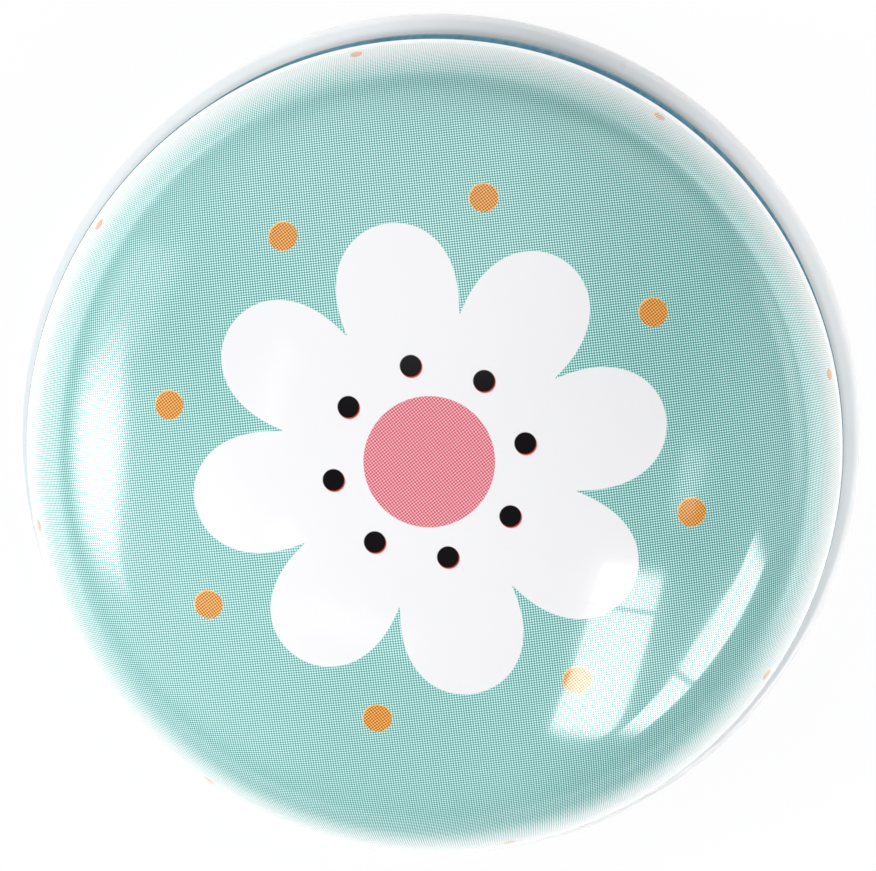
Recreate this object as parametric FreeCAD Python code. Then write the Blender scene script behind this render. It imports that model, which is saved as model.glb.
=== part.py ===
import FreeCAD
import Part

import math
import os

# Small round keepsake tin, pressed and folded from thin tinplate.
# The domed lid slips over the wall of the base and rests on the lip where
# the bottom is folded round the wall's flange. Sizes are in millimetres.
# The origin is the centre of the base on the surface it stands on, +Z is up.

# Driving dimensions
SHEET = 0.25               # thickness of the tinplate
LID_DIAMETER = 47.0        # outside of the lid at its widest line
CROWN_RADIUS = 49.0        # outside radius of the lid's shallow crown
SHOULDER_RADIUS = 7.9      # outside radius of the lid's round shoulder
HEM_HEIGHT = 1.8           # straight height of the hem folded up inside the lid's rim
BODY_HEIGHT = 8.5          # from the standing surface to the top of the wall's curled edge
SHOULDER_DROP = 0.6        # depth of the lid's widest line below the top of the wall
TOP_CURL = 1.1             # outside diameter of the wall's curled top edge
TOP_CURL_TURN = 270.0      # degrees that the top edge is curled round
LIP_PROUD = 1.15           # how far the bottom lip stands out past the lid
PLUG_DEPTH = 0.6           # straight height of the bottom's plug inside the wall
PLUG_BEND = 0.4            # radius at the edge of the bottom panel, seen from below
FLANGE_BEND = 0.1          # tight radius where the wall turns out into its flange
WELD_WIDTH = 1.2           # width of the wall's lapped side weld
WELD_PROUD = 0.12          # height of that weld above the inside of the wall
WELD_MARGIN = 0.3          # bare height left above and below the weld

# Clearances
LID_CLEARANCE = 0.05       # between the lid's hem and the wall, on the radius
SEAT_CLEARANCE = 0.05      # between the lid's rim and the lip it rests on
FOLD_GAP = 0.04            # between two folded layers of sheet

# Sizes that follow from the driving dimensions
LID_RADIUS = LID_DIAMETER / 2
HEM_BEND = SHEET + FOLD_GAP / 2
BODY_RADIUS = LID_RADIUS - 2 * HEM_BEND - LID_CLEARANCE
LIP_RADIUS = LID_RADIUS + LIP_PROUD
LIP_THICKNESS = 3 * SHEET + 2 * FOLD_GAP
LIP_BEND = LIP_THICKNESS / 2
FLANGE_END = LIP_RADIUS - LIP_BEND
PLUG_ROOT_BEND = FLANGE_BEND + 2 * SHEET + FOLD_GAP
PANEL_HEIGHT = PLUG_BEND + PLUG_DEPTH + PLUG_ROOT_BEND
WIDEST_HEIGHT = BODY_HEIGHT - SHOULDER_DROP
RIM_HEIGHT = LIP_THICKNESS + SEAT_CLEARANCE

QUARTER = math.pi / 2
AXIS_POINT = FreeCAD.Vector(0, 0, 0)
UP = FreeCAD.Vector(0, 0, 1)
OUTWARD = 0.0
INWARD = math.pi


def at(radius, height):
    """Point of a section, in the plane through the tin's axis."""
    return FreeCAD.Vector(radius, 0, height)


def direction(angle):
    """Unit vector at an angle from outward, turning towards up."""
    return at(math.cos(angle), math.sin(angle))


class Run:
    """Straight stretch of a sheet's section."""

    def __init__(self, length):
        self.length = length

    def draw(self, point, heading, offset):
        """Edge of the stretch, its end and its end heading."""
        end = point + direction(heading) * self.length
        return Part.LineSegment(point, end).toShape(), end, heading


class Bend:
    """Round bend of a sheet's section, where a positive turn goes left."""

    def __init__(self, radius, turn):
        self.radius = radius
        self.turn = turn

    def draw(self, point, heading, offset):
        """Edge of the bend on the face that lies offset to the left, its end and its end heading."""
        side = math.copysign(1, self.turn)
        radius = self.radius - side * offset
        centre = point + direction(heading + side * QUARTER) * radius
        start = heading - side * QUARTER
        middle = centre + direction(start + self.turn / 2) * radius
        end = centre + direction(start + self.turn) * radius
        return Part.Arc(point, middle, end).toShape(), end, heading + self.turn


def trace(start, heading, moves, offset):
    """Edges, first point and last point of a sheet's face that lies offset to the left of its path."""
    first = start + direction(heading + QUARTER) * offset
    point = first
    edges = []
    for move in moves:
        edge, point, heading = move.draw(point, heading, offset)
        edges.append(edge)
    return edges, first, point


def revolved_sheet(start, heading, moves, back_offset):
    """Solid of a sheet whose painted face follows the moves, turned about the tin's axis."""
    face, face_start, face_end = trace(start, heading, moves, 0)
    back, back_start, back_end = trace(start, heading, moves, back_offset)
    cut_edges = [
        Part.LineSegment(face_start, back_start).toShape(),
        Part.LineSegment(face_end, back_end).toShape(),
    ]
    outline = Part.Wire(Part.__sortEdges__(face + back + cut_edges))
    return Part.Face(outline).revolve(AXIS_POINT, UP, 360)


def lid_shell():
    """Lid drawn from one sheet: crown, shoulder, skirt and the hem folded up inside its rim."""
    crown_turn = math.asin((LID_RADIUS - SHOULDER_RADIUS) / (CROWN_RADIUS - SHOULDER_RADIUS))
    dome_rise = CROWN_RADIUS - (CROWN_RADIUS - SHOULDER_RADIUS) * math.cos(crown_turn)
    moves = [
        Bend(CROWN_RADIUS, -crown_turn),
        Bend(SHOULDER_RADIUS, crown_turn - QUARTER),
        Run(WIDEST_HEIGHT - RIM_HEIGHT - HEM_BEND),
        Bend(HEM_BEND, -math.pi),
        Run(HEM_HEIGHT),
    ]
    return revolved_sheet(at(0, WIDEST_HEIGHT + dome_rise), OUTWARD, moves, -SHEET)


def side_weld():
    """Lapped weld that closes the rolled wall, a low flat strip up the inside."""
    inner = BODY_RADIUS - SHEET
    bottom = PANEL_HEIGHT + SHEET + WELD_MARGIN
    top = BODY_HEIGHT - TOP_CURL - WELD_MARGIN
    corners = [
        at(inner - WELD_PROUD, bottom),
        at(inner + SHEET / 2, bottom),
        at(inner + SHEET / 2, top),
        at(inner - WELD_PROUD, top),
    ]
    section = Part.Face(Part.makePolygon(corners + corners[:1]))
    width_degrees = math.degrees(WELD_WIDTH / inner)
    section.rotate(AXIS_POINT, UP, -90 - width_degrees / 2)
    return section.revolve(AXIS_POINT, UP, width_degrees)


def body_wall():
    """Wall rolled from a strip: flange at the bottom, curled edge at the top, weld up the inside."""
    flange_top = 2 * SHEET + FOLD_GAP
    curl_radius = TOP_CURL / 2
    moves = [
        Run(FLANGE_END - BODY_RADIUS - FLANGE_BEND),
        Bend(FLANGE_BEND, -QUARTER),
        Run(BODY_HEIGHT - curl_radius - flange_top - FLANGE_BEND),
        Bend(curl_radius, math.radians(TOP_CURL_TURN)),
    ]
    wall = revolved_sheet(at(FLANGE_END, flange_top), INWARD, moves, SHEET)
    return wall.fuse(side_weld()).removeSplitter()


def bottom_disc():
    """Bottom pressed from one sheet: raised panel, plug inside the wall, edge folded round the flange."""
    plug_radius = BODY_RADIUS - 2 * SHEET - FOLD_GAP
    fold_end = BODY_RADIUS + FLANGE_BEND + FOLD_GAP
    moves = [
        Run(plug_radius - PLUG_BEND),
        Bend(PLUG_BEND, -QUARTER),
        Run(PLUG_DEPTH),
        Bend(PLUG_ROOT_BEND, QUARTER),
        Run(FLANGE_END - plug_radius - PLUG_ROOT_BEND),
        Bend(LIP_BEND, math.pi),
        Run(FLANGE_END - fold_end),
    ]
    return revolved_sheet(at(0, PANEL_HEIGHT), OUTWARD, moves, SHEET)


os.makedirs("parts", exist_ok=True)
for build in (lid_shell, body_wall, bottom_disc):
    build().exportStep("parts/" + build.__name__ + ".step")
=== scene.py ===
"""Dresses the small round keepsake tin: printed lid, white base, studio light and camera."""
import logging
import math
from abc import ABC, abstractmethod
from collections.abc import Callable
from dataclasses import dataclass, field
from enum import Enum, IntEnum
from functools import cached_property

import bmesh
import bpy
from mathutils import Matrix, Vector


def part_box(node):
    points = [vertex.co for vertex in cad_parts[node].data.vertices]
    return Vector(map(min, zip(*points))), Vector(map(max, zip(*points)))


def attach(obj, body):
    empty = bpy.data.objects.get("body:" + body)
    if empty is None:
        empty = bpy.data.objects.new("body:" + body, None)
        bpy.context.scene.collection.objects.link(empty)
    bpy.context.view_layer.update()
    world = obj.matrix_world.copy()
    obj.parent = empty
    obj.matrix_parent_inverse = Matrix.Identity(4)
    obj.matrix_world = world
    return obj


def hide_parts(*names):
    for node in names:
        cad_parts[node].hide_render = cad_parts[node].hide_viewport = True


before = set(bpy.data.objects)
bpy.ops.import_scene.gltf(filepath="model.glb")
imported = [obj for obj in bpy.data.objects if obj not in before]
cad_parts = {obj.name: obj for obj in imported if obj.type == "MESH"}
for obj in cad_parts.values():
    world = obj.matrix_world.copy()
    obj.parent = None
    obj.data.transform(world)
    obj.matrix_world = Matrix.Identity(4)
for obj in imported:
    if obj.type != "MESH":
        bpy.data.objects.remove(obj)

log = logging.getLogger("tin")

MM = 0.001  # metres in a millimetre
MICRON = 0.001 * MM
QUARTER = math.pi / 2
FULL_TURN = 2 * math.pi
OUTWARD = 0.0  # heading of a section that runs away from the axis
INWARD = math.pi  # heading of a section that runs towards the axis
AXIS = Vector((0.0, 0.0, 1.0))
CENTRE = Vector((0.0, 0.0, 0.0))
SECTION_NORMAL = Vector((0.0, -1.0, 0.0))  # a positive turn about it goes from outward to up
SHEET_MAP = "sheet"  # UV map that holds flat sheet coordinates, in millimetres
TRAVEL = "travel"  # vertex layer that holds the distance along a sheet's section
JOIN_DISTANCE = 0.1 * MICRON  # vertices closer than this become one
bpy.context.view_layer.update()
SHEET = 0.25 * MM  # thickness of the tinplate
WALL_RADIUS = 22.91 * MM  # outside of the base's wall
LACQUER_IOR = 1.5

Colour = tuple[float, float, float]
Material = bpy.types.Material
Mesh = bmesh.types.BMesh
Vert = bmesh.types.BMVert


class Side(IntEnum):
    """Material slot of each side of a sheet of tinplate."""

    OUTER = 0
    INNER = 1
    CUT = 2


class Ray(Enum):
    """Outputs of the Light Path node that see the backdrop."""

    CAMERA = "Is Camera Ray"
    GLOSSY = "Is Glossy Ray"
    TRANSMISSION = "Is Transmission Ray"


@dataclass(frozen=True)
class Step:
    """Smooth step of a number from one level to another."""

    start: float  # number at which the step begins
    end: float  # number at which it ends
    first: float = 0.0  # level up to the start
    last: float = 1.0  # level from the end on


@dataclass(frozen=True)
class Grain:
    """Fineness of a noise pattern."""

    scale: float  # patches in one unit of the coordinates that it is read at
    detail: float  # octaves of finer noise


def math_method(operation: str) -> "Callable[..., Value]":
    """Makes a method of Value that adds a Math node of one operation."""

    def method(first: "Value", *others: "Value | float") -> "Value":
        """Adds the node, with this number as its first input."""
        return first.math(operation, first, *others)

    return method


@dataclass(frozen=True)
class Value:
    """A number that changes over a surface. Arithmetic on it adds Math nodes."""

    graph: "Graph"
    socket: bpy.types.NodeSocket  # output of a node in that graph

    def math(self, operation: str, *terms: "Value | float") -> "Value":
        """Adds one Math node, with its inputs in order."""
        return self.graph.value("ShaderNodeMath", dict(enumerate(terms)), operation=operation)

    def __rsub__(self, other: float) -> "Value":
        """Difference from a plain number."""
        return self.math("SUBTRACT", other, self)

    __add__ = math_method("ADD")
    __sub__ = math_method("SUBTRACT")
    __mul__ = math_method("MULTIPLY")
    __truediv__ = math_method("DIVIDE")
    sqrt = math_method("SQRT")
    cos = math_method("COSINE")
    sin = math_method("SINE")
    arctan2 = math_method("ARCTAN2")
    absolute = math_method("ABSOLUTE")
    fraction = math_method("FRACT")
    larger = math_method("MAXIMUM")

    def hypot(self, other: "Value") -> "Value":
        """Distance to a point that lies this far along and the other number across."""
        return (self * self + other * other).sqrt()

    def dot(self, vector: Vector) -> "Value":
        """Scalar product of a link that carries a vector with a fixed vector."""
        sockets = {0: self, 1: vector}
        return self.graph.value("ShaderNodeVectorMath", sockets, "Value", operation="DOT_PRODUCT")

    def ramp(self, step: Step) -> "Value":
        """Level that a smooth step has at this number."""
        return self.graph.value("ShaderNodeMapRange", {
            "Value": self,
            "From Min": step.start,
            "From Max": step.end,
            "To Min": step.first,
            "To Max": step.last,
        }, interpolation_type="SMOOTHSTEP")


@dataclass(frozen=True)
class Place:
    """Place on a flat sheet, in millimetres."""

    along: Value
    across: Value

    @cached_property
    def reach(self) -> Value:
        """Distance from the middle of the sheet."""
        return self.along.hypot(self.across)

    def moved(self, along: float, across: float) -> "Place":
        """The place as seen from a point beside the middle of the sheet."""
        return Place(self.along - along, self.across - across)

    def spokes(self, count: int, turn: float) -> tuple[Value, Value]:
        """Measures from the nearest of some evenly spread spokes.

        Args:
            count: how many spokes there are.
            turn: degrees to the first spoke.

        Returns:
            Distance out along the spoke, and distance to the side of it.
        """
        angle = self.across.arctan2(self.along)
        step = FULL_TURN / count
        share = (angle - math.radians(turn)) / step + (count + 0.5)
        swing = (share.fraction() - 0.5) * step
        return self.reach * swing.cos(), self.reach * swing.sin()


class Graph:
    """Node tree of one material, of the world or of a lamp."""

    MIX_FACTOR = 0
    MIX_FIRST = 6
    MIX_SECOND = 7
    MIX_RESULT = 2

    def __init__(self, owner: Material | bpy.types.World | bpy.types.Light) -> None:
        """Empties the owner's node tree and keeps it."""
        owner.use_nodes = True
        self.tree = owner.node_tree
        self.tree.nodes.clear()

    def node(self, kind: str, sockets: dict | None = None, **settings: str) -> bpy.types.Node:
        """Adds any node.

        Args:
            kind: the node's type.
            sockets: values or links of its inputs, by name or number.
            settings: its properties, which are set first.

        Returns:
            The new node.
        """
        made = self.tree.nodes.new(kind)
        for name, setting in settings.items():
            setattr(made, name, setting)
        for name, content in (sockets or {}).items():
            if isinstance(content, Value):
                content = content.socket
            if isinstance(content, bpy.types.NodeSocket):
                self.tree.links.new(content, made.inputs[name])
            else:
                made.inputs[name].default_value = content
        return made

    def value(self, kind: str, sockets: dict, output: str | int = 0, **settings: str) -> Value:
        """Adds a node and wraps one of its outputs, which has a name or a number."""
        return Value(self, self.node(kind, sockets, **settings).outputs[output])

    def blend(self, amount: Value | float, first: Value | Colour, second: Value | Colour) -> Value:
        """Mixes two colours, from the first at an amount of 0 to the second at 1."""
        sockets = {self.MIX_FACTOR: amount, self.MIX_FIRST: opaque(first), self.MIX_SECOND: opaque(second)}
        return self.value("ShaderNodeMix", sockets, self.MIX_RESULT, data_type="RGBA")

    def axes(self, vector: Value | bpy.types.NodeSocket) -> list[Value]:
        """Splits a vector into its three numbers."""
        parts = self.node("ShaderNodeSeparateXYZ", {"Vector": vector})
        return [Value(self, part) for part in parts.outputs]

    def sheet(self) -> tuple[Place, Value]:
        """Reads the place on the flat sheet, as two numbers and as one vector."""
        vector = self.value("ShaderNodeUVMap", {}, uv_map=SHEET_MAP)
        return Place(*self.axes(vector)[:2]), vector

    def noise(self, vector: Value, grain: Grain) -> Value:
        """Adds a noise pattern from 0 to 1."""
        sockets = {"Vector": vector, "Scale": grain.scale, "Detail": grain.detail}
        return self.value("ShaderNodeTexNoise", sockets)

    def streaks(self, vector: Value, grain: Grain) -> Value:
        """Adds noise that is the same all along each line out from the middle of the sheet."""
        way = self.value("ShaderNodeVectorMath", {0: vector}, operation="NORMALIZE")
        return self.noise(way, grain)

    def stretched(self, vector: Value, along: float, across: float) -> Value:
        """Scales each of the sheet's two coordinates by its own number."""
        return self.value("ShaderNodeMapping", {"Vector": vector, "Scale": (along, across, 1.0)})

    def bump(self, height: Value, depth: float) -> Value:
        """Turns a relief from 0 to 1, whose depth is in metres, into a normal."""
        return self.value("ShaderNodeBump", {"Height": height, "Distance": depth, "Strength": 1.0})

    def surface(self, sockets: dict, amount: Value | None = None, second: dict | None = None) -> None:
        """Ends a material in one Principled shader, or in a mix of two.

        Args:
            sockets: values or links of the shader's inputs.
            amount: share of the second shader.
            second: values or links of the second shader's inputs.
        """
        result = self.node("ShaderNodeBsdfPrincipled", sockets).outputs["BSDF"]
        if second:
            other = self.node("ShaderNodeBsdfPrincipled", second).outputs["BSDF"]
            result = self.node("ShaderNodeMixShader", {0: amount, 1: result, 2: other}).outputs[0]
        self.node("ShaderNodeOutputMaterial", {"Surface": result})

    def sees_backdrop(self, *rays: Ray) -> Value:
        """Tells apart the rays that see a backdrop.

        Args:
            rays: the kinds that see it.

        Returns:
            1 for those rays and 0 for others.
        """
        path = self.node("ShaderNodeLightPath")
        seen, *others = (Value(self, path.outputs[ray.value]) for ray in rays)
        for other in others:
            seen = seen.larger(other)
        return seen


def opaque(colour: Value | Colour) -> Value | tuple[float, ...]:
    """Gives a plain colour its fourth number, and passes a link on as it is."""
    return colour if isinstance(colour, Value) else (*colour, 1.0)


def new_material(name: str) -> tuple[Material, Graph]:
    """Makes an empty material, and the graph of its nodes."""
    material = bpy.data.materials.new(name)
    return material, Graph(material)


@dataclass(frozen=True)
class Screen:
    """Halftone screen of one printing plate: rows of round dots on a square grid."""

    turn: float  # degrees from the sheet's first coordinate
    cover: float  # share of the ground that the dots cover
    pitch: float = 0.145  # millimetres from dot to dot
    softness: float = 0.22  # spread of a dot's edge, as a share of its height

    def spot(self, place: Place) -> Value:
        """Height of the dots, which peaks in the middle of each one.

        Args:
            place: place on the sheet.

        Returns:
            Height from -1 to 1.
        """
        rate = FULL_TURN / self.pitch
        straight = rate * math.cos(math.radians(self.turn))
        slanted = rate * math.sin(math.radians(self.turn))
        first = place.along * straight + place.across * slanted
        second = place.across * straight - place.along * slanted
        return (first.cos() + second.cos()) * 0.5

    def level(self) -> float:
        """Height at which slices through the dots cover the wanted share."""
        share = min(self.cover, 1 - self.cover)
        level = 1 - math.pi * share + 2 * (math.pi - 2) * share ** 2
        return level if self.cover < 0.5 else -level

    def dots(self, place: Place, lift: Value | float = 0.0) -> Value:
        """Inked dots as 1 on 0. A lift raises the slice through them, which makes them smaller."""
        edge = Step(self.level() - self.softness, self.level() + self.softness)
        return (self.spot(place) - lift).ramp(edge)


@dataclass(frozen=True)
class DotRing:
    """Ring of evenly spread round dots, in millimetres on the sheet."""

    turn: float  # degrees to the first dot
    distance: float  # from the middle of the sheet to the middle of a dot
    radius: float
    count: int = 8


@dataclass(frozen=True)
class Flower:
    """White flower in the middle of the print, in millimetres on the sheet."""

    petals: int = 8
    turn: float = 11.0  # degrees that the first petal is turned from the first coordinate
    petal_place: float = 8.5  # from the middle to the middle of a petal
    petal_length: float = 5.2  # half the length of a petal
    petal_width: float = 3.35  # half its width in the middle
    petal_flare: float = 0.24  # how much wider it grows towards its end
    heart_radius: float = 3.7  # pink disc in the middle


@dataclass(frozen=True)
class PrintedEnamel:
    """Offset print over a white coat under a glossy clear varnish, and a matt band over the skirt."""

    name: str = "printed_enamel"
    edge: float = 0.03  # millimetres over which a printed edge softens
    flower: Flower = Flower()
    seeds: DotRing = DotRing(turn=11.0, distance=5.5, radius=0.62)  # black, round the pink disc
    buds: DotRing = DotRing(turn=33.5, distance=15.3, radius=0.85)  # orange, between the petals
    border: DotRing = DotRing(turn=11.0, distance=25.7, radius=0.4)  # orange, along the shoulder
    paper: Colour = (0.76, 0.76, 0.775)
    pale_mint: Colour = (0.52, 0.805, 0.785)
    mint: Colour = (0.082, 0.282, 0.263)
    pale_pink: Colour = (0.84, 0.42, 0.47)
    pink: Colour = (0.50, 0.07, 0.11)
    yellow: Colour = (0.82, 0.44, 0.11)
    orange: Colour = (0.36, 0.085, 0.01)
    red: Colour = (0.60, 0.06, 0.05)
    black: Colour = (0.004, 0.003, 0.004)
    blue: Colour = (0.032, 0.19, 0.29)
    dull_blue: Colour = (0.028, 0.17, 0.26)
    pale_blue: Colour = (0.21, 0.37, 0.43)
    steel: Colour = (0.58, 0.58, 0.57)
    mint_screen: Screen = Screen(turn=7.0, cover=0.55)
    pink_screen: Screen = Screen(turn=37.0, cover=0.55)
    orange_screen: Screen = Screen(turn=37.0, cover=0.5)
    slip_along: float = 0.05  # how far the darker plates sit off the lighter ones
    slip_across: float = -0.07
    painted_reflection_fade: Step = Step(22.4, 25.8, 0.0, 0.6)  # lift that shrinks the mint dots far from the middle: painted reflection that pales the shoulder
    drift: Step = Step(4.0, 12.0, 0.0, 0.09)  # how much less lift they have towards +X
    painted_reflection_wash: Step = Step(22.4, 25.4, 1.0, 0.2)  # share of pale mint in the ground between them, thinning towards the rim as painted reflection
    painted_highlight_start: float = 26.4  # distance of a thin white stripe above the band, a painted highlight along the lid's edge
    band_start: float = 27.4  # distance of the matt blue band
    ebb: Step = Step(31.6, 34.4)  # share of pale blue in the band, which grows towards the rim
    rim_fold: float = 35.55  # distance of the rim's fold, where handling wears the band
    rim_wear: Step = Step(0.5, 0.25)  # share of wear, by the distance from that fold
    specks: Grain = Grain(1.6, 4.0)
    speck_edge: Step = Step(0.48, 0.58)
    smudge: Grain = Grain(0.12, 4.0)
    varnish_gloss: Step = Step(0.35, 0.75, 0.10, 0.17)
    coat_roughness: float = 0.03
    peel: Grain = Grain(1.3, 3.0)
    peel_depth: float = 2 * MICRON
    drawing: Grain = Grain(60.0, 3.0)  # streaks left by the drawing die
    drawing_share: float = 0.6  # how much they count beside the smudges
    drawing_depth: float = 3 * MICRON
    band_tone: Step = Step(0.35, 0.65)
    band_gloss: Step = Step(0.35, 0.65, 0.46, 0.66)
    band_specular: float = 0.03

    def inside(self, distance: Value) -> Value:
        """1 inside an outline and 0 outside it, from the millimetres outside it."""
        return distance.ramp(Step(self.edge, -self.edge))

    def dots(self, place: Place, ring: DotRing) -> Value:
        """1 on the dots of a ring and 0 elsewhere."""
        out, aside = place.spokes(ring.count, ring.turn)
        return self.inside((out - ring.distance).hypot(aside) - ring.radius)

    def orange_dots(self, place: Place) -> Value:
        """Dots between the petals and along the shoulder."""
        return self.dots(place, self.buds).larger(self.dots(place, self.border))

    def petal_area(self, place: Place) -> Value:
        """Draws the white petals and the middle that joins them.

        Args:
            place: place on the sheet.

        Returns:
            1 on the petals and 0 beside them.
        """
        flower = self.flower
        out, aside = place.spokes(flower.petals, flower.turn)
        out = (out - flower.petal_place) / flower.petal_length
        aside = aside / ((out * flower.petal_flare + 1.0) * flower.petal_width)
        petal = (out.hypot(aside) - 1.0) * flower.petal_width
        return self.inside(petal).larger(self.inside(place.reach - flower.petal_place))

    def picture(self, graph: Graph, place: Place) -> Value:
        """Lays the printing plates over each other.

        Args:
            graph: the material's graph.
            place: place on the sheet.

        Returns:
            The printed colour.
        """
        slipped = place.moved(self.slip_along, self.slip_across)
        orange = self.orange_dots(place)
        # Painted highlight: a thin white stripe along the lid's edge, left bare of mint
        painted_highlight = self.inside(self.painted_highlight_start - place.reach)
        ground = 1.0 - self.petal_area(place).larger(orange).larger(painted_highlight)
        # Painted reflection: the mint dots shrink and the pale ground thins towards the rim; the drift
        # makes the dots larger towards +X
        lift = place.reach.ramp(self.painted_reflection_fade) - place.along.ramp(self.drift)
        heart = self.inside(place.reach - self.flower.heart_radius)
        plates = (
            (ground * place.reach.ramp(self.painted_reflection_wash), self.pale_mint),
            (self.mint_screen.dots(place, lift) * ground, self.mint),
            (heart, self.pale_pink),
            (self.pink_screen.dots(place) * heart, self.pink),
            (orange, self.yellow),
            (self.orange_screen.dots(place) * self.orange_dots(slipped) * orange, self.orange),
            (self.dots(slipped, self.seeds), self.red),
            (self.dots(place, self.seeds), self.black),
        )
        colour = self.paper
        for area, ink in plates:
            colour = graph.blend(area, colour, ink)
        return colour

    def wear_and_shade(self, graph: Graph, place: Place, vector: Value) -> Value:
        """1 on specks of bare metal along the rim's fold and 0 on ink."""
        near = (place.reach - self.rim_fold).absolute().ramp(self.rim_wear)
        return near * graph.noise(vector, self.specks).ramp(self.speck_edge)

    def make(self) -> Material:
        """Builds the material."""
        material, graph = new_material(self.name)
        place, vector = graph.sheet()
        smudge = graph.noise(vector, self.smudge)
        peel = graph.noise(vector, self.peel)
        varnished = {
            "Base Color": self.picture(graph, place),
            "Roughness": smudge.ramp(self.varnish_gloss),
            "IOR": LACQUER_IOR,
            "Coat Weight": 1.0,
            "Coat Roughness": self.coat_roughness,
            "Coat IOR": LACQUER_IOR,
            "Normal": graph.bump(peel, self.peel_depth),
        }
        worn_and_shaded = self.wear_and_shade(graph, place, vector)
        drawn = graph.streaks(vector, self.drawing)
        tone = drawn * self.drawing_share + smudge * (1 - self.drawing_share)
        ink = graph.blend(tone.ramp(self.band_tone), self.blue, self.dull_blue)
        ink = graph.blend(place.reach.ramp(self.ebb), ink, self.pale_blue)
        matt = {
            "Base Color": graph.blend(worn_and_shaded, ink, self.steel),
            "Metallic": worn_and_shaded,
            "Roughness": tone.ramp(self.band_gloss),
            "Specular IOR Level": self.band_specular,
            "Normal": graph.bump(drawn + peel, self.drawing_depth),
        }
        graph.surface(varnished, self.inside(self.band_start - place.reach), matt)
        return material


@dataclass(frozen=True)
class WhiteLacquer:
    """White stoved lacquer with a soft gloss, and painted shade in a grey ring where the lid's rim rests on
    the lip.
    """

    name: str = "white_lacquer"
    light: Colour = (0.93, 0.92, 0.92)
    shade: Colour = (0.90, 0.89, 0.89)
    # painted shade: grey of the ring where the lid's rim rests on the lip
    worn_and_shaded: Colour = (0.66, 0.66, 0.66)
    bare: bool = False  # whether the greyed part is bare worn metal rather than painted shade
    painted_shade_ring: Step = Step(27.0, 27.5)  # share of painted shade, by the distance from the middle
    cloud: Grain = Grain(0.35, 2.0)
    cloud_edge: Step = Step(0.2, 0.8)
    gloss: Step = Step(0.2, 0.8, 0.27, 0.34)
    coat: float = 0.25
    coat_roughness: float = 0.1
    peel: Grain = Grain(2.2, 3.0)
    peel_depth: float = 3 * MICRON

    def wear_and_shade(self, place: Place) -> Value:
        """Share of painted shade at a place on the sheet, in a ring where the lid's rim rests on the lip.
        """
        return place.reach.ramp(self.painted_shade_ring)

    def make(self) -> Material:
        """Builds the material."""
        material, graph = new_material(self.name)
        place, vector = graph.sheet()
        wear_and_shade = self.wear_and_shade(place)
        cloud = graph.noise(vector, self.cloud)
        lacquer = graph.blend(cloud.ramp(self.cloud_edge), self.light, self.shade)
        graph.surface({
            # Greys the lacquer: painted shade on the bottom's lip, bare worn metal beside the wall's weld
            "Base Color": graph.blend(wear_and_shade, lacquer, self.worn_and_shaded),
            "Metallic": wear_and_shade if self.bare else 0.0,
            "Roughness": cloud.ramp(self.gloss),
            "IOR": LACQUER_IOR,
            "Coat Weight": self.coat,
            "Coat Roughness": self.coat_roughness,
            "Normal": graph.bump(graph.noise(vector, self.peel), self.peel_depth),
        })
        return material


@dataclass(frozen=True)
class WallLacquer(WhiteLacquer):
    """White lacquer of the wall, which stops short of the side weld and leaves a bare margin."""

    name: str = "wall_lacquer"
    worn_and_shaded: Colour = (0.60, 0.59, 0.57)
    bare: bool = True
    seam: float = math.pi * WALL_RADIUS / MM  # sheet distance of the wall's two ends
    margin: float = 1.3
    margin_edge: float = 0.08

    def wear_and_shade(self, place: Place) -> Value:
        """Bare margin on both sides of the weld."""
        edge = self.seam - self.margin
        return place.along.absolute().ramp(Step(edge, edge + self.margin_edge))


@dataclass(frozen=True)
class Tinplate:
    """Bare tinned steel with fine rolling lines under a clear lacquer."""

    name: str = "bare_tinplate"
    bright: Colour = (0.78, 0.775, 0.76)
    dull: Colour = (0.60, 0.60, 0.595)
    lines: Grain = Grain(1.0, 5.0)
    lines_along: float = 0.12  # patches of the lines in a millimetre along them
    lines_across: float = 14.0  # and across them
    lines_share: float = 0.7  # how much they count beside the stains
    lines_depth: float = 2.5 * MICRON
    stain: Grain = Grain(0.18, 3.0)
    mottle_edge: Step = Step(0.3, 0.7)
    gloss: Step = Step(0.3, 0.7, 0.22, 0.38)
    coat: float = 0.15
    coat_roughness: float = 0.2

    def make(self) -> Material:
        """Builds the material."""
        material, graph = new_material(self.name)
        vector = graph.sheet()[1]
        lines = graph.noise(graph.stretched(vector, self.lines_along, self.lines_across), self.lines)
        stain = graph.noise(vector, self.stain)
        mottle = lines * self.lines_share + stain * (1 - self.lines_share)
        graph.surface({
            "Base Color": graph.blend(mottle.ramp(self.mottle_edge), self.bright, self.dull),
            "Metallic": 1.0,
            "Roughness": mottle.ramp(self.gloss),
            "Coat Weight": self.coat,
            "Coat Roughness": self.coat_roughness,
            "Normal": graph.bump(lines, self.lines_depth),
        })
        return material


@dataclass(frozen=True)
class WeldSteel:
    """Steel of the side weld, with a blue-brown heat tint and close ripples."""

    name: str = "weld_steel"
    steel: Colour = (0.42, 0.42, 0.43)
    tint: Colour = (0.30, 0.24, 0.20)
    cloud: Grain = Grain(1.5, 4.0)
    tint_edge: Step = Step(0.35, 0.7)
    gloss: Step = Step(0.3, 0.7, 0.32, 0.48)
    ripple: float = 0.55  # millimetres from ripple to ripple
    ripple_depth: float = 10 * MICRON

    def make(self) -> Material:
        """Builds the material."""
        material, graph = new_material(self.name)
        place, vector = graph.sheet()
        cloud = graph.noise(vector, self.cloud)
        wave = (place.across * (FULL_TURN / self.ripple)).sin()
        graph.surface({
            "Base Color": graph.blend(cloud.ramp(self.tint_edge), self.steel, self.tint),
            "Metallic": 1.0,
            "Roughness": cloud.ramp(self.gloss),
            "Normal": graph.bump(wave + cloud, self.ripple_depth),
        })
        return material


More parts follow.
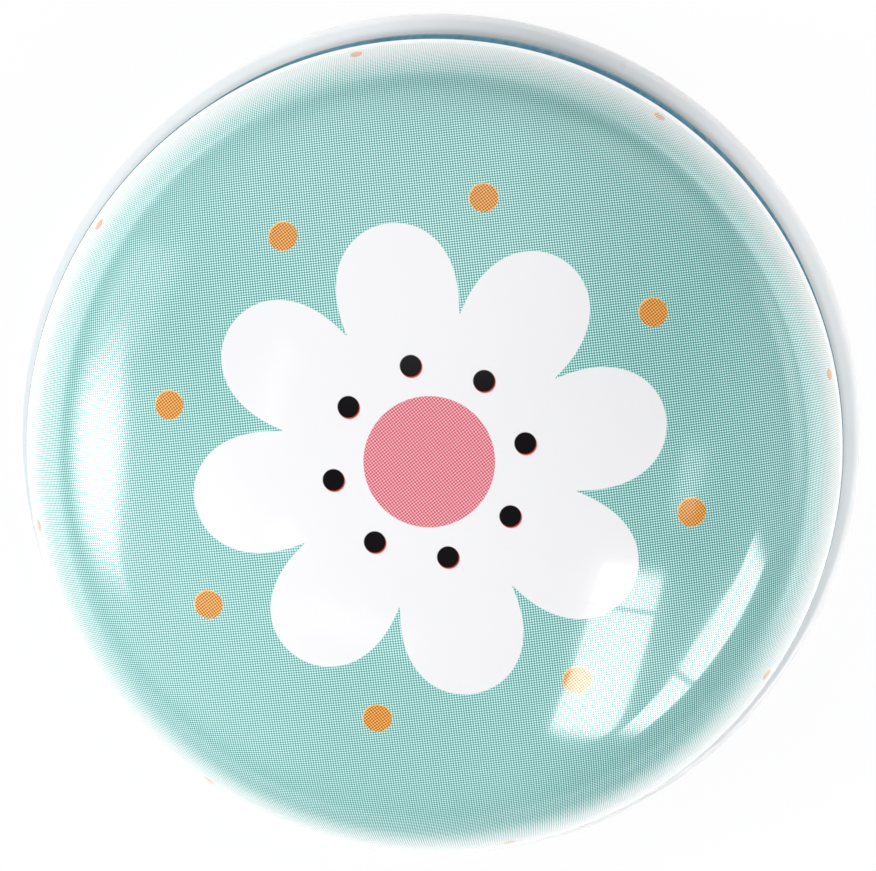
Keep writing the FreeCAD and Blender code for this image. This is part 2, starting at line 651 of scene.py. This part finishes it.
@dataclass(frozen=True)
class Finishes:
    """Every finish on the tin, made once."""

    printed: Material = field(default_factory=PrintedEnamel().make)
    white: Material = field(default_factory=WhiteLacquer().make)
    wall: Material = field(default_factory=WallLacquer().make)
    tinplate: Material = field(default_factory=Tinplate().make)
    weld: Material = field(default_factory=WeldSteel().make)

    def sides(self, coat: Material) -> dict[Side, Material]:
        """Materials of a sheet that is coated on its outer side and bare on the others."""
        return {Side.OUTER: coat, Side.INNER: self.tinplate, Side.CUT: self.tinplate}


def direction(angle: float) -> Vector:
    """Unit vector in the section plane at an angle from outward, turning towards up."""
    return Vector((math.cos(angle), 0.0, math.sin(angle)))


class Move(ABC):
    """One stretch of a sheet's section."""

    @abstractmethod
    def draw(self, mesh: Mesh, tip: Vert, heading: float, offset: float) -> tuple[Vert, float]:
        """Draws the stretch from the section's tip.

        Args:
            mesh: mesh that holds the section.
            tip: last vertex of the section so far.
            heading: angle from outward to the way the section runs.
            offset: how far left of the painted face this face lies.

        Returns:
            The new tip and its heading.
        """


@dataclass(frozen=True)
class Run(Move):
    """Straight stretch of a sheet's section."""

    length: float
    steps: int = 1

    def draw(self, mesh: Mesh, tip: Vert, heading: float, offset: float) -> tuple[Vert, float]:
        """Draws a straight line, the same for every offset."""
        step = direction(heading) * (self.length / self.steps)
        for _ in range(self.steps):
            tip = bmesh.ops.extrude_vert_indiv(mesh, verts=[tip])["verts"][0]
            bmesh.ops.translate(mesh, verts=[tip], vec=step)
        return tip, heading


@dataclass(frozen=True)
class Bend(Move):
    """Round bend of a sheet's section, where a positive turn goes left."""

    radius: float
    turn: float
    steps: int

    def draw(self, mesh: Mesh, tip: Vert, heading: float, offset: float) -> tuple[Vert, float]:
        """Draws an arc, whose radius depends on the offset."""
        side = math.copysign(1.0, self.turn)
        centre = tip.co + direction(heading + side * QUARTER) * (self.radius - side * offset)
        swept = bmesh.ops.spin(
            mesh, geom=[tip], cent=centre, axis=SECTION_NORMAL, angle=self.turn, steps=self.steps)
        tip = next(part for part in swept["geom_last"] if isinstance(part, Vert))
        return tip, heading + self.turn


@dataclass(frozen=True)
class Section:
    """Section of a sheet: where its painted face starts, and the moves that it follows."""

    radius: float
    height: float
    heading: float
    moves: tuple[Move, ...]
    inner_offset: float  # from the painted face to the other face, positive to the left

    def start(self, offset: float) -> Vector:
        """First point of the face that lies offset to the left."""
        return Vector((self.radius, 0.0, self.height)) + direction(self.heading + QUARTER) * offset


@dataclass
class TurnedSheet:
    """Sheet of tinplate turned about the tin's axis."""

    name: str
    section: Section
    strip_radius: float | None = None  # where a strip's length is measured, None for a disc
    sectors: int = 24  # equal parts of a turn, of which one is swept and then repeated
    sector_faces: int = 12  # faces round the axis in each of them
    crease: float = math.radians(35.0)  # sharpest angle that is shaded smooth

    def build(self, materials: dict[Side, Material]) -> bpy.types.Object:
        """Builds the closed sheet.

        Args:
            materials: material of each side of the sheet.

        Returns:
            The new object.
        """
        mesh = bmesh.new()
        mesh.verts.layers.float.new(TRAVEL)
        mesh.loops.layers.uv.new(SHEET_MAP)
        outer = self.draw_face(mesh, 0.0)
        inner = self.draw_face(mesh, self.section.inner_offset)
        wires = [(outer, Side.OUTER), (inner, Side.INNER)]
        for near, far in ((outer[0], inner[0]), (outer[-1], inner[-1])):
            if near.co.x > abs(self.section.inner_offset):
                wires.append((self.draw_cut(mesh, near.co, far.co), Side.CUT))
        for wire, side in wires:
            self.sweep(mesh, wire, side)
        bmesh.ops.remove_doubles(mesh, verts=mesh.verts, dist=JOIN_DISTANCE)
        bmesh.ops.recalc_face_normals(mesh, faces=mesh.faces)
        return finish_piece(self.name, mesh, materials, self.crease)

    def draw_face(self, mesh: Mesh, offset: float) -> list[Vert]:
        """Draws the section of one face of the sheet.

        Args:
            mesh: mesh that it goes into.
            offset: how far left of the painted face it lies.

        Returns:
            Its vertices in order.
        """
        first = bmesh.ops.create_vert(mesh, co=self.section.start(offset))["vert"][0]
        tip = first
        heading = self.section.heading
        for move in self.section.moves:
            tip, heading = move.draw(mesh, tip, heading, offset)
        return measured_wire(mesh, first)

    def draw_cut(self, mesh: Mesh, near: Vector, far: Vector) -> list[Vert]:
        """Draws the section of a cut edge of the sheet, between its two faces.

        Args:
            mesh: mesh that it goes into.
            near: its point on the painted face.
            far: its point on the other face.

        Returns:
            Its vertices in order.
        """
        first = bmesh.ops.create_vert(mesh, co=near)["vert"][0]
        tip = bmesh.ops.extrude_vert_indiv(mesh, verts=[first])["verts"][0]
        bmesh.ops.translate(mesh, verts=[tip], vec=far - near)
        return measured_wire(mesh, first)

    def sweep(self, mesh: Mesh, wire: list[Vert], side: Side) -> None:
        """Turns a wire about the axis, and lays sheet coordinates on what it makes.

        Args:
            mesh: mesh that holds the wire.
            wire: its vertices in order.
            side: side of the sheet that it makes.
        """
        before = set(mesh.faces)
        edges = {edge for vert in wire for edge in vert.link_edges}
        sector = FULL_TURN / self.sectors
        bmesh.ops.spin(
            mesh, geom=[*wire, *edges], cent=CENTRE, axis=AXIS, angle=sector, steps=self.sector_faces)
        swept = [face for face in mesh.faces if face not in before]
        bmesh.ops.spin(
            mesh, geom=swept, cent=CENTRE, axis=AXIS, angle=FULL_TURN - sector,
            steps=self.sectors - 1, use_duplicate=True)
        travel = mesh.verts.layers.float[TRAVEL]
        sheet_map = mesh.loops.layers.uv[SHEET_MAP]
        for face in set(mesh.faces) - before:
            face.material_index = side
            face.smooth = True
            middle = angle_round(face.calc_center_median())
            for corner in face.loops:
                length = corner.vert[travel] / MM
                corner[sheet_map].uv = self.flat_place(corner.vert.co, length, middle)

    def flat_place(self, point: Vector, length: float, middle: float) -> tuple[float, float]:
        """Finds where a point lies on the flat sheet.

        Args:
            point: the point on the turned sheet.
            length: its distance along the section in millimetres.
            middle: angle round the axis of the face that it belongs to.

        Returns:
            Flat coordinates in millimetres.
        """
        angle = angle_round(point)
        if self.strip_radius is None:
            return length * math.sin(-angle), length * math.cos(angle)
        angle = middle + math.remainder(angle - middle, FULL_TURN)
        return angle * self.strip_radius / MM, length


def angle_round(point: Vector) -> float:
    """Angle round the axis from +Y, where the strip's two ends meet at -Y."""
    return math.atan2(-point.x, point.y)


def measured_wire(mesh: Mesh, first: Vert) -> list[Vert]:
    """Walks along a wire and notes how far each vertex lies from its start.

    Args:
        mesh: mesh that holds the wire.
        first: the vertex at its start.

    Returns:
        The vertices in order.
    """
    travel = mesh.verts.layers.float[TRAVEL]
    wire = [first]
    while ahead := [vert for edge in wire[-1].link_edges for vert in edge.verts if vert not in wire]:
        ahead[0][travel] = wire[-1][travel] + (ahead[0].co - wire[-1].co).length
        wire.append(ahead[0])
    return wire


def finish_piece(name: str, mesh: Mesh, materials: dict[Side, Material], crease: float) -> bpy.types.Object:
    """Makes an object of a finished mesh.

    Args:
        name: the object's name.
        mesh: the finished mesh, which is freed.
        materials: materials in the order of their slots.
        crease: sharpest angle that is shaded smooth, in radians.

    Returns:
        The object, linked to the scene.
    """
    for edge in mesh.edges:
        edge.smooth = edge.is_manifold and edge.calc_face_angle() < crease
    loose = sum(1 for edge in mesh.edges if not edge.is_manifold)
    data = bpy.data.meshes.new(name)
    mesh.to_mesh(data)
    mesh.free()
    for side in sorted(materials):
        data.materials.append(materials[side])
    piece = bpy.data.objects.new(name, data)
    bpy.context.collection.objects.link(piece)
    log.info("%s: %d faces, %d open edges", name, len(data.polygons), loose)
    return piece


@dataclass
class Lid:
    """Printed lid: crown, shoulder, skirt, and a hem folded up inside the rim."""

    finishes: Finishes
    crown_radius: float = 49.0 * MM
    shoulder_radius: float = 7.9 * MM
    hem_height: float = 1.8 * MM
    hem_bend: float = 0.27 * MM

    def section(self) -> Section:
        """Section of the lid, sized from its node."""
        low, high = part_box("lid_shell")
        apart = self.crown_radius - self.shoulder_radius
        crown_turn = math.asin((high.x - self.shoulder_radius) / apart)
        rise = self.crown_radius - apart * math.cos(crown_turn)
        skirt = high.z - rise - low.z - self.hem_bend
        moves = (
            Bend(self.crown_radius, -crown_turn, steps=40),
            Bend(self.shoulder_radius, crown_turn - QUARTER, steps=36),
            Run(skirt, steps=4),
            Bend(self.hem_bend, -math.pi, steps=10),
            Run(self.hem_height, steps=2),
        )
        return Section(0.0, high.z, OUTWARD, moves, -SHEET)

    def build(self) -> None:
        """Builds and dresses the lid."""
        sheet = TurnedSheet("printed_lid", self.section())
        piece = sheet.build(self.finishes.sides(self.finishes.printed))
        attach(piece, "lid")
        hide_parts("lid_shell")


@dataclass
class Base:
    """White base: rolled wall with its weld, and the bottom folded round the wall's flange."""

    finishes: Finishes
    fold_gap: float = 0.04 * MM
    wall_radius: float = WALL_RADIUS
    curl: float = 0.55 * MM
    curl_turn: float = math.radians(270.0)
    flange_bend: float = 0.1 * MM
    plug_depth: float = 0.6 * MM
    plug_bend: float = 0.4 * MM
    weld_width: float = 1.2 * MM
    weld_proud: float = 0.12 * MM
    weld_margin: float = 0.3 * MM
    weld_round: float = 0.8  # share of the weld's height over which its edges are rounded
    weld_crease: float = math.radians(50.0)

    def __post_init__(self) -> None:
        """Works out the sizes that follow from the fields and the nodes."""
        self.lip_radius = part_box("bottom_disc")[1].x
        self.wall_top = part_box("body_wall")[1].z
        self.lip_bend = (3 * SHEET + 2 * self.fold_gap) / 2
        self.flange_end = self.lip_radius - self.lip_bend
        self.plug_radius = self.wall_radius - 2 * SHEET - self.fold_gap
        self.plug_root = self.flange_bend + 2 * SHEET + self.fold_gap
        self.panel_height = self.plug_bend + self.plug_depth + self.plug_root

    def wall_section(self) -> Section:
        """Section of the wall, from the flange's edge to the curled top."""
        flange_top = 2 * SHEET + self.fold_gap
        straight = self.wall_top - self.curl - flange_top - self.flange_bend
        moves = (
            Run(self.flange_end - self.wall_radius - self.flange_bend),
            Bend(self.flange_bend, -QUARTER, steps=6),
            Run(straight, steps=4),
            Bend(self.curl, self.curl_turn, steps=24),
        )
        return Section(self.flange_end, flange_top, INWARD, moves, SHEET)

    def bottom_section(self) -> Section:
        """Section of the bottom, from the middle of its panel to the end of its fold."""
        fold_end = self.wall_radius + self.flange_bend + self.fold_gap
        moves = (
            Run(self.plug_radius - self.plug_bend, steps=12),
            Bend(self.plug_bend, -QUARTER, steps=8),
            Run(self.plug_depth),
            Bend(self.plug_root, QUARTER, steps=10),
            Run(self.flange_end - self.plug_radius - self.plug_root, steps=2),
            Bend(self.lip_bend, math.pi, steps=16),
            Run(self.flange_end - fold_end, steps=2),
        )
        return Section(0.0, self.panel_height, OUTWARD, moves, SHEET)

    def build_wall(self) -> None:
        """Builds and dresses the wall."""
        sheet = TurnedSheet("base_wall", self.wall_section(), self.wall_radius)
        piece = sheet.build(self.finishes.sides(self.finishes.wall))
        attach(piece, "base")
        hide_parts("body_wall")

    def build_bottom(self) -> None:
        """Builds and dresses the bottom."""
        sheet = TurnedSheet("base_bottom", self.bottom_section())
        piece = sheet.build(self.finishes.sides(self.finishes.white))
        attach(piece, "base")
        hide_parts("bottom_disc")

    def build_weld(self) -> None:
        """Builds the lapped weld up the inside of the wall."""
        inner = self.wall_radius - SHEET
        foot = self.panel_height + SHEET + self.weld_margin
        height = self.wall_top - 2 * self.curl - self.weld_margin - foot
        mesh = bmesh.new()
        middle = Vector((0.0, -inner, foot + height / 2))
        stretch = Matrix.Diagonal((self.weld_width, 2 * self.weld_proud, height, 1.0))
        bmesh.ops.create_cube(mesh, size=1.0, matrix=Matrix.Translation(middle) @ stretch)
        proud = [edge for edge in mesh.edges if all(vert.co.y > -inner for vert in edge.verts)]
        bmesh.ops.bevel(
            mesh, geom=proud, offset=self.weld_proud * self.weld_round, affect="EDGES",
            segments=4, profile=0.5, material=-1)
        sheet_map = mesh.loops.layers.uv.new(SHEET_MAP)
        for face in mesh.faces:
            face.smooth = True
            for corner in face.loops:
                corner[sheet_map].uv = corner.vert.co.x / MM, corner.vert.co.z / MM
        piece = finish_piece("side_weld", mesh, {Side.OUTER: self.finishes.weld}, self.weld_crease)
        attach(piece, "base")

    def build(self) -> None:
        """Builds every piece of the base."""
        self.build_wall()
        self.build_bottom()
        self.build_weld()


def bearing_vector(bearing: float, elevation: float) -> Vector:
    """Unit vector at a bearing from +X towards +Y and an elevation, both in degrees."""
    raised = Matrix.Rotation(math.radians(-elevation), 3, "Y") @ Vector((1.0, 0.0, 0.0))
    return Matrix.Rotation(math.radians(bearing), 3, "Z") @ raised


@dataclass(frozen=True)
class Lamp:
    """Flat soft lamp that stands at a bearing from the tin and faces it."""

    name: str
    bearing: float  # degrees from +X towards +Y
    elevation: float  # degrees above the table
    width: float  # degrees that it spans sideways, seen from the tin
    height: float  # degrees that it spans upwards
    strength: float  # brightness, where 1 is white
    roll: float = 0.0  # degrees that it leans, turning left as the tin sees it
    sides: float = 0.05  # shares of its half size over which its light falls off to its sides
    top: float = 0.05  # and to its top
    foot: float = 0.05  # and to its foot
    mirrored: bool = True  # whether gloss shows it
    arch: float = 0.0  # how far its top falls away from its peak, as a share of its height
    peak: float = 0.0  # where that peak lies, from -1 to 1 of its half width
    bars: tuple[float, ...] = ()  # places of thin bars across it, from -1 to 1 of its half width
    bar_width: float = 0.035
    distance: float = 0.6

    def span(self, degrees: float) -> float:
        """Length of the lamp that spans an angle, seen from the tin."""
        return 2 * self.distance * math.tan(math.radians(degrees / 2))

    def place(self) -> None:
        """Adds the lamp to the scene."""
        lamp = bpy.data.lights.new(self.name, "AREA")
        lamp.shape = "RECTANGLE"
        lamp.size = self.span(self.width)
        lamp.size_y = self.span(self.height)
        lamp.energy = self.strength * math.pi * lamp.size * lamp.size_y
        self.soften(lamp)
        stand = bpy.data.objects.new(self.name, lamp)
        away = bearing_vector(self.bearing, self.elevation)
        stand.matrix_world = (
            Matrix.Translation(away * self.distance)
            @ away.to_track_quat("Z", "Y").to_matrix().to_4x4()
            @ Matrix.Rotation(math.radians(self.roll), 4, "Z")
        )
        stand.visible_camera = False
        stand.visible_glossy = self.mirrored
        bpy.context.collection.objects.link(stand)

    def soften(self, lamp: bpy.types.Light) -> None:
        """Lets the lamp's light fall off towards its edges.

        Args:
            lamp: the lamp.
        """
        graph = Graph(lamp)
        spot = graph.axes(graph.node("ShaderNodeNewGeometry").outputs["Parametric"])
        across, up = (part * 2.0 - 1.0 for part in spot[:2])
        off_peak = across - self.peak
        crest = 1.0 - off_peak * off_peak * (2 * self.arch)
        inset = (1.0 - across.absolute()).ramp(Step(0.0, self.sides))
        inset = inset * (up + 1.0).ramp(Step(0.0, self.foot)) * (crest - up).ramp(Step(0.0, self.top))
        for bar in self.bars:
            inset = inset * (across - bar).absolute().ramp(Step(self.bar_width / 2, self.bar_width))
        glow = graph.node("ShaderNodeEmission", {"Strength": inset})
        graph.node("ShaderNodeOutputLight", {"Surface": glow.outputs[0]})


@dataclass(frozen=True)
class Glow:
    """Broad soft light in the room, which fades away from its middle."""

    bearing: float  # degrees from +X towards +Y
    elevation: float  # degrees above the table
    strength: float  # brightness in its middle, where 1 is white
    reach: float  # cosine of the angle at which it ends

    def level(self, way: Value) -> Value:
        """Brightness of the glow in the direction that is looked in."""
        near = way.dot(bearing_vector(self.bearing, self.elevation))
        return near.ramp(Step(self.reach, 1.0, 0.0, self.strength))


@dataclass(frozen=True)
class Studio:
    """White table, soft lamps and a pale room."""

    table_size: float = 3.0
    table_white: Colour = (0.86, 0.86, 0.86)
    shadow_share: float = 0.06  # how much of the table's own shading the backdrop keeps
    painted_table_glow: float = 1.2  # painted glow of the table, seen only in gloss, close to the tin
    gloss_shift: float = 0.033  # how far towards +Y the middle of that bright part lies
    gloss_squash: float = 0.4  # how much a distance sideways counts, so that it is wider than deep
    gloss_fade: Step = Step(0.06, 0.10, 1.0, 0.3)  # how it dims away from its middle
    painted_side_glow: Step = Step(0.04, 0.065, 0.0, 0.8)  # painted pools of light, seen only in gloss, that make it brighter to the left and right
    room_fill: float = 0.06  # light from all round
    horizon: Step = Step(0.0, 0.3, 0.3, 1.0)  # share of the room's light, by the sine of the elevation
    glows: tuple[Glow, ...] = (
        Glow(bearing=90.0, elevation=44.0, strength=0.72, reach=0.70),
        Glow(bearing=50.0, elevation=20.0, strength=0.8, reach=0.93),
        Glow(bearing=0.0, elevation=27.0, strength=0.45, reach=0.86),
        Glow(bearing=132.0, elevation=14.0, strength=0.4, reach=0.7),
        Glow(bearing=210.0, elevation=28.0, strength=0.9, reach=0.74),
    )
    lamps: tuple[Lamp, ...] = (
        Lamp("left_softbox", bearing=185.0, elevation=25.2, width=45.0, height=40.4, strength=10.5,
             roll=-6.5, sides=0.9, top=0.17, foot=1.29, arch=0.08, peak=-0.2),
        Lamp("left_haze", bearing=157.0, elevation=27.0, width=20.0, height=42.0, strength=1.1,
             sides=0.4, top=0.15, foot=0.8),
        Lamp("right_upper_pane", bearing=-54.2, elevation=49.4, width=26.5, height=9.6, strength=8.0,
             roll=39.5, sides=0.2, top=0.15, foot=0.15, bars=(0.5,)),
        Lamp("right_lower_pane", bearing=-40.5, elevation=32.8, width=36.5, height=20.5, strength=8.0,
             sides=0.3, top=0.12, foot=0.12, arch=0.22, peak=0.3, bars=(-0.27,)),
        Lamp("right_haze", bearing=-13.0, elevation=54.0, width=13.0, height=5.0, strength=1.5,
             sides=0.6, top=0.6, foot=0.6),
        Lamp("right_card", bearing=6.0, elevation=7.0, width=60.0, height=20.0, strength=1.4,
             sides=0.8, top=0.8, foot=0.8),
        Lamp("left_glint", bearing=216.0, elevation=63.0, width=4.5, height=3.5, strength=1.6,
             sides=0.3, top=0.3, foot=0.3),
        Lamp("left_strip", bearing=168.0, elevation=66.0, width=18.0, height=3.6, strength=0.6,
             sides=0.4, top=0.3, foot=0.6),
        Lamp("low_strip", bearing=249.0, elevation=59.5, width=17.0, height=6.0, strength=0.5,
             sides=0.3, top=0.4, foot=0.4),
        Lamp("overhead_fill", bearing=95.0, elevation=60.0, width=60.0, height=40.0, strength=1.4,
             mirrored=False),
        Lamp("low_fill", bearing=-95.0, elevation=66.0, width=50.0, height=40.0, strength=0.5,
             mirrored=False),
    )

    def build_table(self) -> None:
        """Adds the white table that the tin stands on."""
        mesh = bmesh.new()
        bmesh.ops.create_grid(mesh, x_segments=1, y_segments=1, size=self.table_size / 2)
        data = bpy.data.meshes.new("table")
        mesh.to_mesh(data)
        mesh.free()
        table = bpy.data.objects.new("table", data)
        bpy.context.collection.objects.link(table)
        material, graph = new_material("white_table")
        side, ahead = graph.axes(graph.node("ShaderNodeTexCoord").outputs["Object"])[:2]
        # Gloss sees the table glow brighter near the tin and to its left and right: painted pools of light
        mirrored = graph.sees_backdrop(Ray.GLOSSY)
        near = (side * self.gloss_squash).hypot(ahead - self.gloss_shift).ramp(self.gloss_fade)
        gloss = side.absolute().ramp(self.painted_side_glow) + self.painted_table_glow
        level = mirrored * gloss * near + (1.0 - mirrored)
        seen = graph.sees_backdrop(*Ray) * (1 - self.shadow_share)
        matt = graph.node("ShaderNodeBsdfDiffuse", {"Color": opaque(self.table_white)})
        glow = graph.node("ShaderNodeEmission", {"Strength": level})
        both = graph.node("ShaderNodeMixShader", {0: seen, 1: matt.outputs[0], 2: glow.outputs[0]})
        graph.node("ShaderNodeOutputMaterial", {"Surface": both.outputs[0]})
        data.materials.append(material)

    def build_room(self) -> None:
        """Sets the room: white to the camera, lit by soft glows for everything else."""
        world = bpy.data.worlds.new("pale_room")
        bpy.context.scene.world = world
        graph = Graph(world)
        way = Value(graph, graph.node("ShaderNodeTexCoord").outputs["Generated"])
        first, *others = (glow.level(way) for glow in self.glows)
        light = first + self.room_fill
        for other in others:
            light = light + other
        seen = graph.sees_backdrop(Ray.CAMERA, Ray.TRANSMISSION)
        strength = seen + (1.0 - seen) * graph.axes(way)[2].ramp(self.horizon) * light
        back = graph.node("ShaderNodeBackground", {"Strength": strength})
        graph.node("ShaderNodeOutputWorld", {"Surface": back.outputs[0]})

    def build(self) -> None:
        """Builds the table, the room and the lamps."""
        self.build_table()
        self.build_room()
        for lamp in self.lamps:
            lamp.place()
        log.info("studio: table, room and %d lamps", len(self.lamps))


@dataclass(frozen=True)
class PhotoCamera:
    """Camera that sees the tin as the photograph does."""

    image_width: float = 876.0  # pixels
    image_height: float = 871.0
    lid_x: float = 434.5  # pixel at which the middle of the lid's widest line shows
    lid_y: float = 446.0
    lid_radius_pixels: float = 408.5
    lean_right: float = 1.54  # degrees that the camera leans to +X
    lean_up: float = 4.62  # degrees that it leans to +Y
    distance: float = 0.451  # metres to the lid's widest line
    sensor: float = 36.0  # millimetres
    widest_height: float = 7.9 * MM
    nearest: float = 0.01  # metres between which it sees anything
    farthest: float = 10.0

    def build(self) -> None:
        """Adds the camera and makes it the scene's own."""
        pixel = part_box("lid_shell")[1].x / self.lid_radius_pixels
        lean = Vector((math.tan(math.radians(self.lean_right)), math.tan(math.radians(self.lean_up)), 1.0))
        back = lean.normalized()
        right = Vector((0.0, 1.0, 0.0)).cross(back).normalized()
        up = back.cross(right)
        aim = Vector((0.0, 0.0, self.widest_height))
        aim += right * (self.image_width / 2 - self.lid_x) * pixel
        aim += up * (self.lid_y - self.image_height / 2) * pixel
        data = bpy.data.cameras.new("photo_camera")
        data.sensor_width = self.sensor
        data.lens = self.sensor * self.distance / (self.image_width * pixel)
        data.clip_start = self.nearest
        data.clip_end = self.farthest
        camera = bpy.data.objects.new("photo_camera", data)
        turn = Matrix((right, up, back)).transposed().to_4x4()
        camera.matrix_world = Matrix.Translation(aim + back * self.distance) @ turn
        bpy.context.collection.objects.link(camera)
        bpy.context.scene.camera = camera
        log.info("camera: %.0f mm lens at %.3f m", data.lens, self.distance)


def main() -> None:
    """Builds the tin, then the studio and the camera."""
    logging.basicConfig(level=logging.INFO, format="%(name)s %(message)s")
    bpy.context.scene.view_settings.view_transform = "Standard"
    finishes = Finishes()
    Lid(finishes).build()
    Base(finishes).build()
    Studio().build()
    PhotoCamera().build()


if __name__ == "__main__":
    main()
